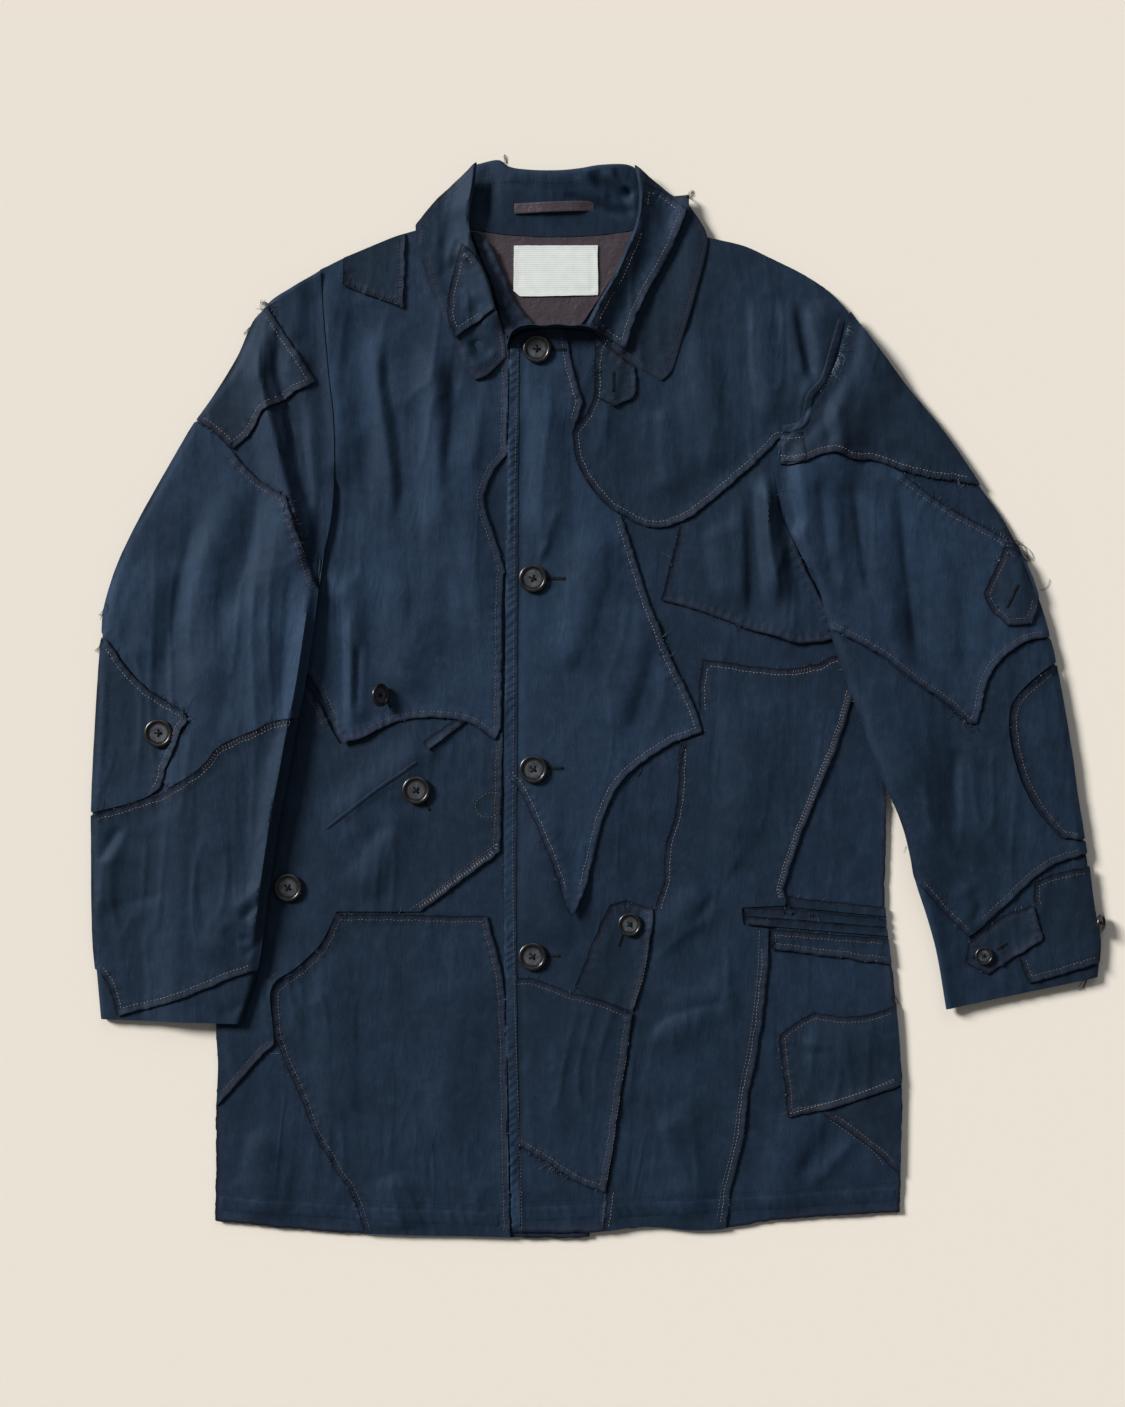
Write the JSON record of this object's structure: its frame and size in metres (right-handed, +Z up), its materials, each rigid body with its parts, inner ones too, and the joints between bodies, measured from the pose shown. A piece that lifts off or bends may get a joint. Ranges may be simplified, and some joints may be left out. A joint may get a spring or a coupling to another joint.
{
  "type": "patchwork coat",
  "caption": "Three-quarter coat in navy cotton covered with cut patches, buttoned at the front and laid flat on its back.",
  "frame": {"origin": "middle of the bounding box, on the surface that the coat lies on", "axes": "+Z up from the surface, +Y from the hem to the collar, +X to the wearer's left"},
  "size_m": [0.8476, 0.9028, 0.018],
  "materials": {
    "coat_cloth": "matt navy cotton twill",
    "patch_cloth": "matt navy cotton twill, raw edges",
    "lining": "thin purple brown lining",
    "label": "plain woven label",
    "button": "dark four-hole button"
  },
  "bodies": {
    "root": {"back": "coat_cloth", "button_patch_left": "patch_cloth", "cap_panel_left": "patch_cloth", "cap_patch_right": "patch_cloth", "centre_tongue_left": "patch_cloth", "chest_button_right": "button", "chest_flap_left": "patch_cloth", "chest_panel_right": "patch_cloth", "collar_back": "coat_cloth", "collar_leaf_left": "coat_cloth", "collar_leaf_right": "coat_cloth", "collar_patch_left": "patch_cloth", "collar_patch_right": "patch_cloth", "corner_patch_left": "patch_cloth", "cuff_button_left": "button", "cuff_edge_button_left": "button", "cuff_patch_left": "patch_cloth", "cuff_tab_left": "patch_cloth", "elbow_button_right": "button", "elbow_patch_left": "patch_cloth", "elbow_patch_right": "patch_cloth", "forearm_panel_left": "patch_cloth", "forearm_panel_right": "patch_cloth", "front_button_1": "button", "front_button_2": "button", "front_button_3": "button", "front_button_4": "button", "front_left": "coat_cloth", "front_right": "coat_cloth", "hanger_loop": "lining", "hip_patch_left": "patch_cloth", "lower_centre_panel_left": "patch_cloth", "neck_facing_right": "coat_cloth", "neck_label": "label", "pocket_band_lower": "patch_cloth", "pocket_band_upper": "patch_cloth", "pocket_welt_lower": "patch_cloth", "pocket_welt_upper": "patch_cloth", "shoulder_patch_right": "patch_cloth", "side_button_right": "button", "side_panel_left": "patch_cloth", "skirt_button_left": "button", "skirt_panel_right": "patch_cloth", "slant_welt_right": "patch_cloth", "sleeve_left": "coat_cloth", "sleeve_right": "coat_cloth", "tab_patch_left": "patch_cloth", "throat_tab": "patch_cloth", "upper_arm_panel_left": "patch_cloth", "upper_arm_panel_right": "patch_cloth", "waist_button_right": "button", "waist_panel_right": "patch_cloth", "yoke_lining": "lining", "yoke_panel_left": "patch_cloth"}
  },
  "joints": []
}
